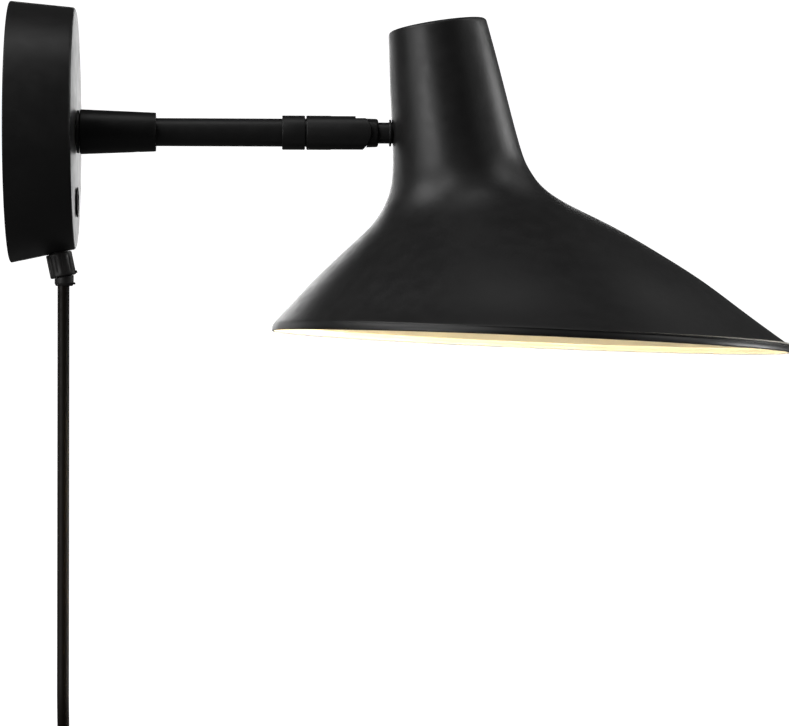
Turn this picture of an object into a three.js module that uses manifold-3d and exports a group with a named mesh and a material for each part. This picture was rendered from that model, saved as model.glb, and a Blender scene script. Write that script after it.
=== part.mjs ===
// Wall sconce: a tapered round wall plate, a short arm with a swivel and a tilt knuckle,
// and a thin asymmetric funnel shade over a small lamp holder. Fed by a cord with a plug.
// Millimetres, +Z up. The origin is the centre of the wall plate's back, on the wall.
// +X points out of the wall along the arm.

import * as THREE from 'three';
import { mergeVertices } from 'three/addons/utils/BufferGeometryUtils.js';
import Module from 'manifold-3d';

const wasm = await Module();
wasm.setup();

// ---------- driving dimensions ----------

const gap = 0.3;                    // clearance between touching pieces

const canopyDepth = 30;             // wall to front face
const canopyBackRadius = 60;
const canopyFrontRadius = 55.4;
const canopyFrontRise = 1.7;        // the front circle sits this much higher than the back one
const canopyWall = 1.5;
const canopyEdge = 1.5;             // rounding of the front edge

const plateRadius = 50;             // wall bracket
const plateThickness = 1.5;
const tabWidth = 14;
const tabDepth = 13;
const coverScrewX = 7;              // distance of the cover screws from the wall
const slotSpacing = 70;             // between the two slots for the wall screws
const slotWidth = 5;
const slotLength = 12;

const armHeight = 0.3;              // arm axis above the origin
const nippleRadius = 4.87;          // hollow M10 lamp thread, used in three places
const nippleBore = 3.5;

const bossStart = 1.5;              // these run along the arm, from the front face
const bossEnd = 36.7;
const bossRootRadius = 10.35;
const bossTipRadius = 8.95;
const tubeRadius = 6.46;
const tubeBore = 5.2;
const tubeStart = 20;
const tubeEnd = 99.6;
const ringStart = 94.6;
const ringEnd = 105.1;
const knuckleRadius = 7.9;          // ring and pivot housing
const grooveWidth = 0.65;
const spigotRadius = 6.5;
const spigotEnd = 112.4;
const pivotX = 125.5;               // tilt pin, from the front face
const cheekReach = 9.9;             // radius of the housing's cheeks about the pin
const reliefStart = 128.4;          // the top of the cheeks is lowered from here on
const reliefHeight = 6.5;
const slotHalf = 2.2;               // half the width of the housing's slot
const bladeHalf = 1.0;              // half the thickness of the tongue's blade
const pinRadius = 2;

const noseEnd = 13.4;               // these run from the tilt pin
const noseRootRadius = 6.95;
const noseTipRadius = 6.5;
const stubEnd = 29;                 // inner end of the nipple
const neckWasherStart = 18.4;
const neckWasherEnd = 19.4;
const neckWasherRadius = 6.2;

const shadeWall = 1.2;
const holderX = 47.5;               // lamp holder axis, from the tilt pin
const holderTop = 34.4;             // top of the holder, above the arm axis
const holderRadius = 14;
const bulbRadius = 22.5;

const switchDrop = 32.1;            // switch centre below the origin
const switchBezelRadius = 6.9;
const switchBarrelRadius = 5.8;
const rockerTilt = THREE.MathUtils.degToRad(7);

const gripX = 22;                   // where the cord grip leaves the cover, from the wall
const gripLength = 11.2;
const gripRadius = 6;
const collarX = 24.6;
const collarBottom = -70.6;
const collarRadius = 4.3;

const cordX = 24.3;                 // the hanging cord's distance from the wall
const cordRadius = 2.75;
const coilMeanRadius = 30.5;
const coilHalf = 8.25;              // half the section of the coil, three cords wide
const coilZ = -324;
const plugTop = -370;               // top of the plug's strain relief

const fine = 48;                    // sides of the large turned parts
const medium = 24;
const coarse = 16;

// ---------- materials ----------

function finish(color, roughness, metalness) {
  return new THREE.MeshStandardMaterial({ color, roughness, metalness });
}

const blackPaint = finish(0x17171a, 0.45, 0.3);
const blackPlastic = finish(0x141414, 0.6, 0.0);
const cordRubber = finish(0x191512, 0.7, 0.0);
const steel = finish(0xb4b6b8, 0.4, 0.9);
const brass = finish(0xc9a65a, 0.3, 0.9);
const ceramic = finish(0xeae6dc, 0.5, 0.0);
const opalGlass = finish(0xfff2d8, 0.2, 0.0);
const whitePlastic = finish(0xf2f1ee, 0.4, 0.0);
const blueWire = finish(0x2b5fa8, 0.5, 0.0);
const brownWire = finish(0x6b3f22, 0.5, 0.0);

// ---------- solid helpers ----------

function signedVolume(position, index) {
  const a = new THREE.Vector3();
  const b = new THREE.Vector3();
  const c = new THREE.Vector3();
  let volume = 0;
  for (let i = 0; i < index.length; i += 3) {
    a.fromBufferAttribute(position, index[i]);
    b.fromBufferAttribute(position, index[i + 1]);
    c.fromBufferAttribute(position, index[i + 2]);
    volume += a.dot(b.cross(c)) / 6;
  }
  return volume;
}

// Merges shared vertices, drops empty triangles and turns the faces outwards.
function sealed(geometry) {
  const bare = geometry.clone();
  bare.deleteAttribute('normal');
  bare.deleteAttribute('uv');
  const merged = mergeVertices(bare, 1e-4);
  const source = merged.index.array;
  const index = [];
  for (let i = 0; i < source.length; i += 3) {
    const [a, b, c] = [source[i], source[i + 1], source[i + 2]];
    if (a !== b && b !== c && c !== a) {
      index.push(a, b, c);
    }
  }
  if (signedVolume(merged.attributes.position, index) < 0) {
    index.reverse();
  }
  merged.setIndex(index);
  merged.computeVertexNormals();
  return merged;
}

function toManifold(geometry) {
  const vertProperties = new Float32Array(geometry.attributes.position.array);
  const triVerts = new Uint32Array(geometry.index.array);
  return new wasm.Manifold(new wasm.Mesh({ numProp: 3, vertProperties, triVerts }));
}

function fromManifold(manifold) {
  const mesh = manifold.getMesh();
  const geometry = new THREE.BufferGeometry();
  geometry.setAttribute('position', new THREE.BufferAttribute(mesh.vertProperties, 3));
  geometry.setIndex(Array.from(mesh.triVerts));
  geometry.computeVertexNormals();
  return geometry;
}

function cut(geometry, ...tools) {
  let result = toManifold(geometry);
  for (const tool of tools) {
    result = result.subtract(toManifold(tool));
  }
  return fromManifold(result);
}

function join(geometry, ...others) {
  let result = toManifold(geometry);
  for (const other of others) {
    result = result.add(toManifold(other));
  }
  return fromManifold(result);
}

function common(first, second) {
  return fromManifold(toManifold(first).intersect(toManifold(second)));
}

// Turns a profile of [along, radius] points about X, Y or Z.
function turned(axis, profile, sides = medium) {
  const points = profile.map(([along, radius]) => new THREE.Vector2(radius, along));
  const geometry = new THREE.LatheGeometry(points, sides);
  if (axis === 'x') {
    geometry.rotateZ(-Math.PI / 2);
  }
  if (axis === 'z') {
    geometry.rotateX(Math.PI / 2);
  }
  return sealed(geometry);
}

function rod(axis, from, to, radius, sides = medium) {
  return turned(axis, [[from, 0], [from, radius], [to, radius], [to, 0]], sides);
}

// A cutting tool whose flats, not its corners, lie at the radius.
function drill(axis, from, to, radius, sides = coarse) {
  return rod(axis, from, to, radius / Math.cos(Math.PI / sides), sides);
}

// A turned sleeve with small bevels at its outer edges.
function sleeve(axis, from, to, outer, inner, bevel = 0.4, sides = medium) {
  return turned(axis, [
    [from, inner],
    [from, outer - bevel],
    [from + bevel, outer],
    [to - bevel, outer],
    [to, outer - bevel],
    [to, inner],
    [from, inner],
  ], sides);
}

function hexNut(axis, from, to, acrossFlats, bore) {
  const outside = rod(axis, from, to, acrossFlats / Math.sqrt(3), 6);
  return cut(outside, drill(axis, from - 1, to + 1, bore));
}

function block([x0, x1], [y0, y1], [z0, z1]) {
  const geometry = new THREE.BoxGeometry(x1 - x0, y1 - y0, z1 - z0);
  geometry.translate((x0 + x1) / 2, (y0 + y1) / 2, (z0 + z1) / 2);
  return sealed(geometry);
}

function moved(geometry, x, y, z) {
  geometry.translate(x, y, z);
  return geometry;
}

// A round cord or wire along a smooth curve through the points.
function strand(points, radius, sides, steps) {
  const curve = new THREE.CatmullRomCurve3(points.map((p) => new THREE.Vector3(...p)));
  const section = new THREE.Shape();
  for (let i = 0; i < sides; i += 1) {
    const angle = (i / sides) * Math.PI * 2;
    const [x, y] = [radius * Math.cos(angle), radius * Math.sin(angle)];
    if (i === 0) {
      section.moveTo(x, y);
    } else {
      section.lineTo(x, y);
    }
  }
  return sealed(new THREE.ExtrudeGeometry(section, { steps, extrudePath: curve, curveSegments: 1 }));
}

function place(parent, name, geometry, material) {
  const mesh = new THREE.Mesh(geometry, material);
  mesh.name = name;
  parent.add(mesh);
  return mesh;
}

// ---------- wall plate ----------

function riseAt(x) {
  return (canopyFrontRise * x) / canopyDepth;
}

function canopyRadiusAt(x) {
  return canopyBackRadius + ((canopyFrontRadius - canopyBackRadius) * x) / canopyDepth;
}

// Slides each slice of a turned part upwards in step with the cover's raised front circle.
function sheared(geometry) {
  const position = geometry.attributes.position;
  for (let i = 0; i < position.count; i += 1) {
    position.setZ(i, position.getZ(i) + riseAt(position.getX(i)));
  }
  return geometry;
}

// The cover's underside leans, and the cord grip stands square to it.
const gripLean = Math.atan((canopyBackRadius - canopyFrontRadius + canopyFrontRise) / canopyDepth);
const gripZ = riseAt(gripX) - canopyRadiusAt(gripX);

function alongGrip(geometry) {
  geometry.rotateY(Math.PI - gripLean);
  return moved(geometry, gripX, 0, gripZ);
}

function canopyCover() {
  const front = canopyDepth;
  const corner = [];
  const cornerSteps = 4;
  for (let i = 0; i <= cornerSteps; i += 1) {
    const angle = (i / cornerSteps) * (Math.PI / 2);
    corner.push([
      front - canopyEdge + canopyEdge * Math.cos(angle),
      canopyFrontRadius - canopyEdge + canopyEdge * Math.sin(angle),
    ]);
  }
  const shell = turned('x', [
    [front, 0],
    ...corner,
    [0, canopyBackRadius],
    [0, canopyBackRadius - canopyWall],
    [front - canopyWall - 1, canopyRadiusAt(front) - canopyWall],
    [front - canopyWall, canopyRadiusAt(front) - canopyWall - 1],
    [front - canopyWall, 0],
  ], fine);
  const armHole = moved(drill('x', front - 5, front + 5, nippleRadius + gap), 0, 0, armHeight);
  const switchHole = moved(
    drill('x', front - 5, front + 5, switchBarrelRadius + gap, medium), 0, 0, -switchDrop);
  const gripHole = alongGrip(drill('z', -6, 6, 4 + gap));
  const screwHoles = moved(drill('z', -80, 80, 2 + gap), coverScrewX, 0, 0);
  return cut(sheared(shell), armHole, switchHole, gripHole, screwHoles);
}

function wallBracket() {
  const plate = rod('x', 0, plateThickness, plateRadius, fine);
  const tabs = [1, -1].map((side) => {
    const [low, high] = [side * (plateRadius + 1), side * (plateRadius - 1)].sort((a, b) => a - b);
    return block([0, tabDepth], [-tabWidth / 2, tabWidth / 2], [low, high]);
  });
  const slots = [1, -1].map((side) => {
    const middle = (side * slotSpacing) / 2;
    const reach = (slotLength - slotWidth) / 2;
    const straight = block(
      [-1, plateThickness + 1], [middle - reach, middle + reach], [-slotWidth / 2, slotWidth / 2]);
    const ends = [-reach, reach].map((shift) =>
      moved(rod('x', -1, plateThickness + 1, slotWidth / 2, coarse), 0, middle + shift, 0));
    return join(straight, ...ends);
  });
  const screwHoles = moved(drill('z', -80, 80, 2 + gap), coverScrewX, 0, 0);
  return cut(join(plate, ...tabs), ...slots, screwHoles);
}

// A headless screw with a slot, standing on Z with its slotted end at the top.
function grubScrew(length, radius) {
  const body = turned('z', [
    [-length, 0],
    [-length, radius * 0.6],
    [-length + radius * 0.4, radius],
    [0, radius],
    [0, 0],
  ], coarse);
  return cut(body, block([-radius - 1, radius + 1], [-0.35, 0.35], [-0.9, 1]));
}

function terminalBlock() {
  const body = block([0, 13], [-9, 9], [-9, 9]);
  const wells = [-4.4, 4.4].flatMap((y) => [
    moved(rod('z', -10, 10, 1.7, coarse), 6, y, 0),
    moved(rod('x', 9, 14, 2.2, coarse), 0, y, 4.5),
    moved(rod('x', 9, 14, 2.2, coarse), 0, y, -4.5),
  ]);
  const waist = [1, -1].map((side) =>
    block([7, 14], [-1.2, 1.2], side > 0 ? [1.5, 10] : [-10, -1.5]));
  return cut(body, ...wells, ...waist);
}

const wallUnit = new THREE.Group();
place(wallUnit, 'wall_bracket', wallBracket(), steel);
place(wallUnit, 'canopy_cover', canopyCover(), blackPaint);

for (const side of [1, -1]) {
  const name = side > 0 ? 'cover_screw_upper' : 'cover_screw_lower';
  const screw = place(wallUnit, name, grubScrew(9, 2), steel);
  const surface = riseAt(coverScrewX) + side * canopyRadiusAt(coverScrewX);
  screw.position.set(coverScrewX, 0, surface - side * 0.6);
  screw.rotation.x = side > 0 ? 0 : Math.PI;
}

const terminals = new THREE.Group();
terminals.position.set(plateThickness + gap, 0, 27);
wallUnit.add(terminals);
place(terminals, 'terminal_block', terminalBlock(), ceramic);
for (const [name, y] of [['terminal_screw_live', -4.4], ['terminal_screw_neutral', 4.4]]) {
  const screw = place(terminals, name, grubScrew(3, 1.8), brass);
  screw.rotation.y = Math.PI / 2;
  screw.position.set(12.6, y, 4.5);
}

// ---------- switch ----------

function switchHousing() {
  const front = canopyDepth + gap;
  const body = turned('x', [
    [front - 15, 0],
    [front - 15, switchBarrelRadius],
    [front, switchBarrelRadius],
    [front, switchBezelRadius],
    [front + 0.5, switchBezelRadius],
    [front + 0.8, switchBezelRadius - 0.4],
    [front + 0.8, 5.1],
    [front - 3.6, 5.1],
    [front - 3.6, 0],
  ], medium);
  return body;
}

// Rocker about its own hinge line, the Y axis: two flats that meet in a shallow valley.
function switchRocker() {
  const round = rod('x', -1.5, 4, 4.6, medium);
  const outline = new THREE.Shape();
  outline.moveTo(-1.1, -3);
  outline.lineTo(-1.1, 3);
  outline.lineTo(0.6, 4.45);
  outline.lineTo(1.9, 4.35);
  outline.lineTo(2.1, 4.1);
  outline.lineTo(1.5, 0);
  outline.lineTo(2.1, -4.1);
  outline.lineTo(1.9, -4.35);
  outline.lineTo(0.6, -4.45);
  outline.closePath();
  const bar = new THREE.ExtrudeGeometry(outline, { depth: 12, bevelEnabled: false });
  bar.rotateX(Math.PI / 2);
  bar.translate(0, 6, 0);
  return common(round, sealed(bar));
}

const switchGroup = new THREE.Group();
switchGroup.position.set(0, 0, -switchDrop);
wallUnit.add(switchGroup);
place(switchGroup, 'switch_housing', switchHousing(), blackPlastic);
const rocker = place(switchGroup, 'switch_rocker', switchRocker(), blackPlastic);
rocker.position.set(canopyDepth - 1.4, 0, 0);
rocker.rotation.y = -rockerTilt;

// ---------- cord grip ----------

function cordGrip() {
  const body = turned('z', [
    [-6, 3.3],
    [-6, 4],
    [gap, 4],
    [gap, gripRadius - 0.5],
    [gap + 0.5, gripRadius],
    [gripLength - 1.2, gripRadius],
    [gripLength - 0.4, gripRadius + 0.2],
    [gripLength, gripRadius - 0.3],
    [gripLength, 3.3],
    [-6, 3.3],
  ], medium);
  const flutes = [];
  const fluteCount = 12;
  for (let i = 0; i < fluteCount; i += 1) {
    const angle = ((i + 0.5) / fluteCount) * Math.PI * 2;
    const flute = rod('z', 1.6, gripLength - 1.6, 0.8, 8);
    flutes.push(moved(flute, (gripRadius + 0.35) * Math.cos(angle), (gripRadius + 0.35) * Math.sin(angle), 0));
  }
  const latch = block([-gripRadius - 0.6, -gripRadius + 1], [-2, 2], [gripLength - 1.6, gripLength - 0.5]);
  return alongGrip(join(cut(body, ...flutes), latch));
}

function gripNut() {
  return alongGrip(hexNut('z', -5.6, -canopyWall - 1.1, 12, 4 + gap));
}

// The collar's top leans with the grip's lower end, which it almost touches.
function cordCollar() {
  const top = -62;
  const body = turned('z', [
    [collarBottom, 3.0],
    [collarBottom, collarRadius - 0.9],
    [collarBottom + 1.2, collarRadius],
    [top, collarRadius],
    [top, 3.0],
    [collarBottom, 3.0],
  ], medium);
  const tab = block([collarRadius - 0.6, collarRadius + 0.8], [-2, 2], [collarBottom + 0.7, collarBottom + 1.6]);
  const above = alongGrip(block([-20, 20], [-20, 20], [-20, gripLength + gap]));
  return cut(moved(join(body, tab), collarX, 0, 0), above);
}

place(wallUnit, 'cord_grip', cordGrip(), blackPlastic);
place(wallUnit, 'cord_grip_nut', gripNut(), blackPlastic);
place(wallUnit, 'cord_collar', cordCollar(), blackPlastic);

// ---------- arm ----------

const arm = new THREE.Group();
arm.position.set(canopyDepth, 0, armHeight);

function armBoss() {
  const body = turned('x', [
    [bossStart + gap, nippleRadius + gap],
    [bossStart + gap, bossRootRadius - 0.5],
    [bossStart + gap + 0.5, bossRootRadius],
    [bossEnd - 0.6, bossTipRadius],
    [bossEnd, bossTipRadius - 0.6],
    [bossEnd, tubeRadius + gap],
    [tubeStart - gap, tubeRadius + gap],
    [tubeStart - gap, nippleRadius + gap],
    [bossStart + gap, nippleRadius + gap],
  ], fine);
  return cut(body, moved(drill('z', -20, 0, 1.5 + gap), 28, 0, 0));
}

function swivelRing() {
  return turned('x', [
    [ringStart, tubeRadius + gap],
    [ringStart, knuckleRadius - 0.3],
    [ringStart + 0.3, knuckleRadius],
    [ringEnd - 0.3, knuckleRadius],
    [ringEnd, knuckleRadius - 0.3],
    [ringEnd, spigotRadius + gap],
    [ringStart + 3, spigotRadius + gap],
    [ringStart + 3, tubeRadius + gap],
    [ringStart, tubeRadius + gap],
  ], medium);
}

place(arm, 'boss_spacer', sleeve('x', gap, bossStart, 9.85, nippleRadius + gap, 0.2, medium), blackPaint);
place(arm, 'arm_boss', armBoss(), blackPaint);
place(arm, 'canopy_nipple', sleeve('x', -10, 17, nippleRadius, nippleBore, 0.4, coarse), steel);
place(arm, 'canopy_washer', sleeve('x', -canopyWall - gap - 1, -canopyWall - gap, 10, nippleRadius + gap, 0.2, coarse), steel);
place(arm, 'canopy_nut', hexNut('x', -7, -canopyWall - 2 * gap - 1, 14, nippleRadius + gap), steel);
place(arm, 'arm_tube', sleeve('x', tubeStart, tubeEnd, tubeRadius, tubeBore, 0.2, medium), blackPaint);
place(arm, 'swivel_ring', swivelRing(), blackPaint);
place(arm, 'swivel_spigot', sleeve('x', tubeEnd + gap, spigotEnd, spigotRadius, 3.2, 0.3, medium), blackPaint);

const bossScrew = place(arm, 'boss_screw', grubScrew(2.4, 1.5), steel);
bossScrew.rotation.x = Math.PI;
bossScrew.position.set(28, 0, -9.15);

// ---------- pivot housing ----------

function pivotHousing() {
  const start = ringEnd + grooveWidth;
  const body = turned('x', [
    [start, spigotRadius + gap],
    [start, knuckleRadius - 0.3],
    [start + 0.3, knuckleRadius],
    [pivotX + cheekReach, knuckleRadius],
    [pivotX + cheekReach, 0],
    [spigotEnd + 3.4, 0],
    [spigotEnd + 3.4, spigotRadius + gap],
    [start, spigotRadius + gap],
  ], fine);
  const reach = moved(rod('y', -20, 20, cheekReach, fine), pivotX, 0, 0);
  const keep = join(reach, block([0, pivotX], [-20, 20], [-20, 20]));
  const slot = block([spigotEnd + 4.6, pivotX + 20], [-slotHalf, slotHalf], [-20, 20]);
  const relief = block([reliefStart, pivotX + 20], [-20, 20], [reliefHeight, 20]);
  const pinHole = moved(drill('y', -5.8, 20, pinRadius + gap), pivotX, 0, 0);
  const headHole = moved(drill('y', 4.9, 20, 3.4 + gap), pivotX, 0, 0);
  const wireHole = drill('x', spigotEnd, spigotEnd + 6, 2);
  return cut(common(body, keep), slot, relief, pinHole, headHole, wireHole);
}

// Countersunk-free cheese head that sits in the far cheek, with a driver slot.
function pivotScrew() {
  const body = turned('y', [
    [-5.5, 0],
    [-5.5, pinRadius - 0.4],
    [-5.1, pinRadius],
    [5.2, pinRadius],
    [5.2, 3.4],
    [7.0, 3.4],
    [7.3, 3.1],
    [7.3, 0],
  ], coarse);
  return cut(body, block([-4, 4], [6.4, 8], [-0.45, 0.45]));
}

const knuckle = new THREE.Group();
knuckle.position.copy(arm.position);
place(knuckle, 'pivot_housing', pivotHousing(), blackPaint);
place(arm, 'retaining_nut', hexNut('x', spigotEnd + gap, spigotEnd + 3, 11, 2.2), steel);
place(knuckle, 'pivot_screw', moved(pivotScrew(), pivotX, 0, 0), steel);
for (const [name, low] of [['friction_washer_near', -bladeHalf - gap - 0.6], ['friction_washer_far', bladeHalf + gap]]) {
  const washer = sleeve('y', low, low + 0.6, 4.6, pinRadius + gap, 0.1, coarse);
  place(knuckle, name, moved(washer, pivotX, 0, 0), brass);
}

// ---------- head: tongue, nipple and washer ----------

const head = new THREE.Group();
head.position.set(canopyDepth + pivotX, 0, armHeight);

function tiltTongue() {
  const nose = turned('x', [
    [0, 0],
    [0, noseRootRadius],
    [noseEnd - 1, noseTipRadius],
    [noseEnd - 0.3, noseTipRadius - 0.3],
    [noseEnd, noseTipRadius - 1],
    [noseEnd, 0],
  ], medium);
  const shoulder = cut(nose, rod('y', -20, 20, cheekReach + 0.35, fine));
  const eye = rod('y', -bladeHalf, bladeHalf, 6, medium);
  const bar = common(block([0, noseEnd - 2], [-bladeHalf, bladeHalf], [-6.4, 6.4]), rod('x', 0, 20, 6.4, medium));
  const pinHole = drill('y', -10, 10, pinRadius + gap);
  const thread = drill('x', noseEnd - 2.4, noseEnd + 2, nippleRadius + gap);
  return cut(join(shoulder, eye, bar), pinHole, thread);
}

place(head, 'tilt_tongue', tiltTongue(), blackPaint);
place(head, 'neck_nipple', sleeve('x', noseEnd - 2.1, stubEnd, nippleRadius, nippleBore, 0.4, coarse), blackPaint);
place(head, 'neck_washer', sleeve('x', neckWasherStart, neckWasherEnd, neckWasherRadius, nippleRadius + gap, 0.3, medium), blackPaint);

// ---------- shade ----------

// Side outlines of the shade in its middle plane, from the top of the neck to the rim:
// the wall side and the room side, as [along, up] from the tilt pin.
const wallSide = [
  [18.2, 46.8], [18.6, 32.3], [19.1, 17.7], [19.8, 3.3],
  [20.2, -9.5], [20.0, -19.6], [18.5, -28.1], [15.0, -36.1],
  [9.2, -43.9], [1.3, -51.4], [-6.9, -59.1], [-15.2, -67.1],
  [-23.0, -75.3], [-30.4, -83.2], [-33.9, -86.9], [-34.9, -88.2],
  [-35.5, -89.7], [-35.7, -91.4],
];
const roomSide = [
  [63.2, 53.6], [67.2, 39.0], [71.2, 23.7], [75.3, 7.7],
  [78.9, -5.5], [81.6, -13.3], [84.5, -18.6], [89.6, -25.0],
  [99.6, -32.1], [113.6, -39.2], [128.7, -47.2], [145.2, -57.1],
  [164.1, -69.4], [184.0, -84.4], [201.5, -97.3], [202.7, -98.6],
  [203.4, -100.2], [203.6, -101.9],
];

function outline(points) {
  return new THREE.SplineCurve(points.map(([x, y]) => new THREE.Vector2(x, y)));
}

// The point at t on an outline, moved inwards by depth.
function inset(curve, t, depth, inwards) {
  const tangent = curve.getTangent(t);
  const normal = new THREE.Vector2(-tangent.y, tangent.x).multiplyScalar(depth * inwards);
  return curve.getPoint(t).add(normal);
}

// One ring of the shade: the circle that stands on the two side points as its diameter.
function ringPoints(wallPoint, roomPoint, sides) {
  const centre = wallPoint.clone().add(roomPoint).multiplyScalar(0.5);
  const across = roomPoint.clone().sub(wallPoint).multiplyScalar(0.5);
  const radius = across.length();
  const points = [];
  for (let i = 0; i < sides; i += 1) {
    const angle = (i / sides) * Math.PI * 2;
    points.push([
      centre.x + across.x * Math.cos(angle),
      radius * Math.sin(angle),
      centre.y + across.y * Math.cos(angle),
    ]);
  }
  return points;
}

// Joins rings in order into one closed skin, with a fan at each end.
function skin(rings) {
  const sides = rings[0].length;
  const vertices = rings.flat();
  const index = [];
  for (let r = 0; r + 1 < rings.length; r += 1) {
    for (let i = 0; i < sides; i += 1) {
      const next = (i + 1) % sides;
      const [a, b] = [r * sides + i, r * sides + next];
      const [c, d] = [a + sides, b + sides];
      index.push(a, c, b, b, c, d);
    }
  }
  for (const [first, flip] of [[0, false], [(rings.length - 1) * sides, true]]) {
    const centre = [0, 0, 0];
    for (let i = 0; i < sides; i += 1) {
      vertices[first + i].forEach((value, axis) => {
        centre[axis] += value / sides;
      });
    }
    vertices.push(centre);
    const hub = vertices.length - 1;
    for (let i = 0; i < sides; i += 1) {
      const [a, b] = [first + i, first + ((i + 1) % sides)];
      index.push(...(flip ? [hub, b, a] : [hub, a, b]));
    }
  }
  const geometry = new THREE.BufferGeometry();
  geometry.setAttribute('position', new THREE.Float32BufferAttribute(vertices.flat(), 3));
  geometry.setIndex(index);
  return sealed(geometry);
}

function shadeShell() {
  const sides = 40;
  const outerSteps = 21;
  const innerSteps = 14;
  const wallCurve = outline(wallSide);
  const roomCurve = outline(roomSide);
  const ring = (t, depth) =>
    ringPoints(inset(wallCurve, t, depth, 1), inset(roomCurve, t, depth, -1), sides);
  const rings = [];
  rings.push(ring(0, 1.6));
  rings.push(ring(0.003, 0.5));
  for (let i = 0; i <= outerSteps; i += 1) {
    rings.push(ring(0.008 + 0.992 * (i / outerSteps), 0));
  }
  for (let i = innerSteps; i >= 0; i -= 1) {
    rings.push(ring(0.0075 + 0.9925 * (i / innerSteps), shadeWall));
  }
  const nippleHole = drill('x', 10, 30, nippleRadius + gap);
  return cut(skin(rings), nippleHole);
}

place(head, 'shade_shell', shadeShell(), blackPaint);

// ---------- lamp holder ----------

const legX = 23.0;                  // face of the holder bracket, from the tilt pin
const legThickness = 1.5;

function holderBracket() {
  const high = holderTop + gap;
  const upright = block([legX, legX + legThickness], [-6, 6], [-9, high + legThickness]);
  const shelf = block([legX, holderX + 8], [-6, 6], [high, high + legThickness]);
  const lowHole = drill('x', legX - 2, legX + 4, nippleRadius + gap);
  const topHole = moved(drill('z', high - 2, high + 4, nippleRadius + gap), holderX, 0, 0);
  return cut(join(upright, shelf), lowHole, topHole);
}

function holderCap() {
  const low = holderTop - 18;
  return turned('z', [
    [low, holderRadius - 1.6],
    [low, holderRadius],
    [holderTop - 5, holderRadius],
    [holderTop - 2, holderRadius - 1.4],
    [holderTop, holderRadius - 5],
    [holderTop, nippleRadius + gap],
    [holderTop - 5, nippleRadius + gap],
    [holderTop - 5, holderRadius - 3],
    [low, holderRadius - 1.6],
  ], medium);
}

const skirtTop = holderTop - 18 - gap;
const skirtBottom = -13.5;

function holderSkirt() {
  return turned('z', [
    [skirtBottom, 7.4],
    [skirtBottom, holderRadius - 1.6],
    [skirtBottom + 1, holderRadius - 0.6],
    [skirtTop - 8, holderRadius - 0.6],
    [skirtTop - 7, holderRadius],
    [skirtTop, holderRadius],
    [skirtTop, 5],
    [skirtTop - 3, 5],
    [skirtTop - 3, 7.4],
    [skirtBottom, 7.4],
  ], medium);
}

place(head, 'neck_nut', hexNut('x', legX + legThickness + gap, legX + legThickness + 4, 14, nippleRadius + gap), steel);
place(head, 'holder_bracket', holderBracket(), steel);

const holder = new THREE.Group();
holder.position.set(holderX, 0, 0);
head.add(holder);
place(holder, 'holder_cap', holderCap(), blackPlastic);
place(holder, 'holder_skirt', holderSkirt(), blackPlastic);
place(holder, 'holder_contact', rod('z', skirtTop - 2.6, skirtTop + 2, 3.6, coarse), brass);
place(holder, 'holder_nipple', sleeve('z', holderTop - 4.6, holderTop + 6.4, nippleRadius, nippleBore, 0.4, coarse), steel);
place(holder, 'holder_nut', hexNut('z', holderTop + legThickness + 2 * gap, holderTop + 4.6, 14, nippleRadius + gap), steel);

// ---------- bulb ----------

const bulbTop = skirtTop - 2.6 - gap;
const capBottom = -15;
const collarLow = -31.2;
const globeZ = -48;

function bulbGlobe() {
  const profile = [];
  const steps = 7;
  const mouth = Math.PI * 0.24;
  for (const [radius, from, to] of [[bulbRadius, Math.PI, mouth], [bulbRadius - 1.1, mouth, Math.PI]]) {
    for (let i = 0; i <= steps; i += 1) {
      const angle = from + ((to - from) * i) / steps;
      profile.push([globeZ + radius * Math.cos(angle), Math.max(0, radius * Math.sin(angle))]);
    }
  }
  return turned('z', profile, medium);
}

function bulbCollar() {
  return turned('z', [
    [collarLow, 0],
    [collarLow, 15.2],
    [collarLow + 4, 14.4],
    [collarLow + 11, 8.6],
    [capBottom - gap, 7.0],
    [capBottom - gap, 0],
  ], medium);
}

place(holder, 'bulb_screw_cap', rod('z', capBottom, bulbTop - 1.8, 6.8, coarse), steel);
place(holder, 'bulb_contact', rod('z', bulbTop - 1.8 + gap, bulbTop, 2.6, coarse), brass);
place(holder, 'bulb_collar', bulbCollar(), whitePlastic);
place(holder, 'bulb_globe', bulbGlobe(), opalGlass);

// ---------- wires ----------

for (const [name, side, material] of [
  ['holder_wire_live', 1, brownWire],
  ['holder_wire_neutral', -1, blueWire],
]) {
  const route = [
    [29.5, side * 1.6, 0.4],
    [30.8, side * 3, 3],
    [31.2, side * 5.4, 9],
    [30.6, side * 8.4, 20],
    [31.4, side * 8.8, 33],
    [35.5, side * 8.6, 41],
    [42.5, side * 4.4, 44.6],
    [46.6, side * 1.7, 43.4],
    [47.5, side * 1.6, 40.6],
  ];
  place(head, name, strand(route, 1.0, 6, 18), material);
}

for (const [name, y, material] of [
  ['supply_wire_live', -4.4, brownWire],
  ['supply_wire_neutral', 4.4, blueWire],
]) {
  const side = Math.sign(y);
  const route = [
    [20.6, side * 1.6, -47.5],
    [18.6, side * 3, -43],
    [12, side * 7.4, -32],
    [8.4, side * 8, -14],
    [7.8, side * 6.4, 4],
    [7.8, y, 13],
    [7.8, y, 21],
  ];
  place(wallUnit, name, strand(route, 1.0, 6, 14), material);
}

for (const [name, y, material] of [
  ['lamp_wire_live', -4.4, brownWire],
  ['lamp_wire_neutral', 4.4, blueWire],
]) {
  const side = Math.sign(y);
  const route = [
    [7.8, y, 33],
    [7.8, y, 40],
    [12, y, 45],
    [18, y, 41],
    [18.6, side * 3.6, 27],
    [16.4, side * 2.4, 12],
    [15.4, side * 1.6, 3.4],
    [18.4, side * 1.6, armHeight],
    [23, side * 1.6, armHeight],
  ];
  place(wallUnit, name, strand(route, 1.0, 6, 18), material);
}

// ---------- cord, coil and plug ----------

const cordSet = new THREE.Group();
cordSet.position.set(cordX, 0, 0);

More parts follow.
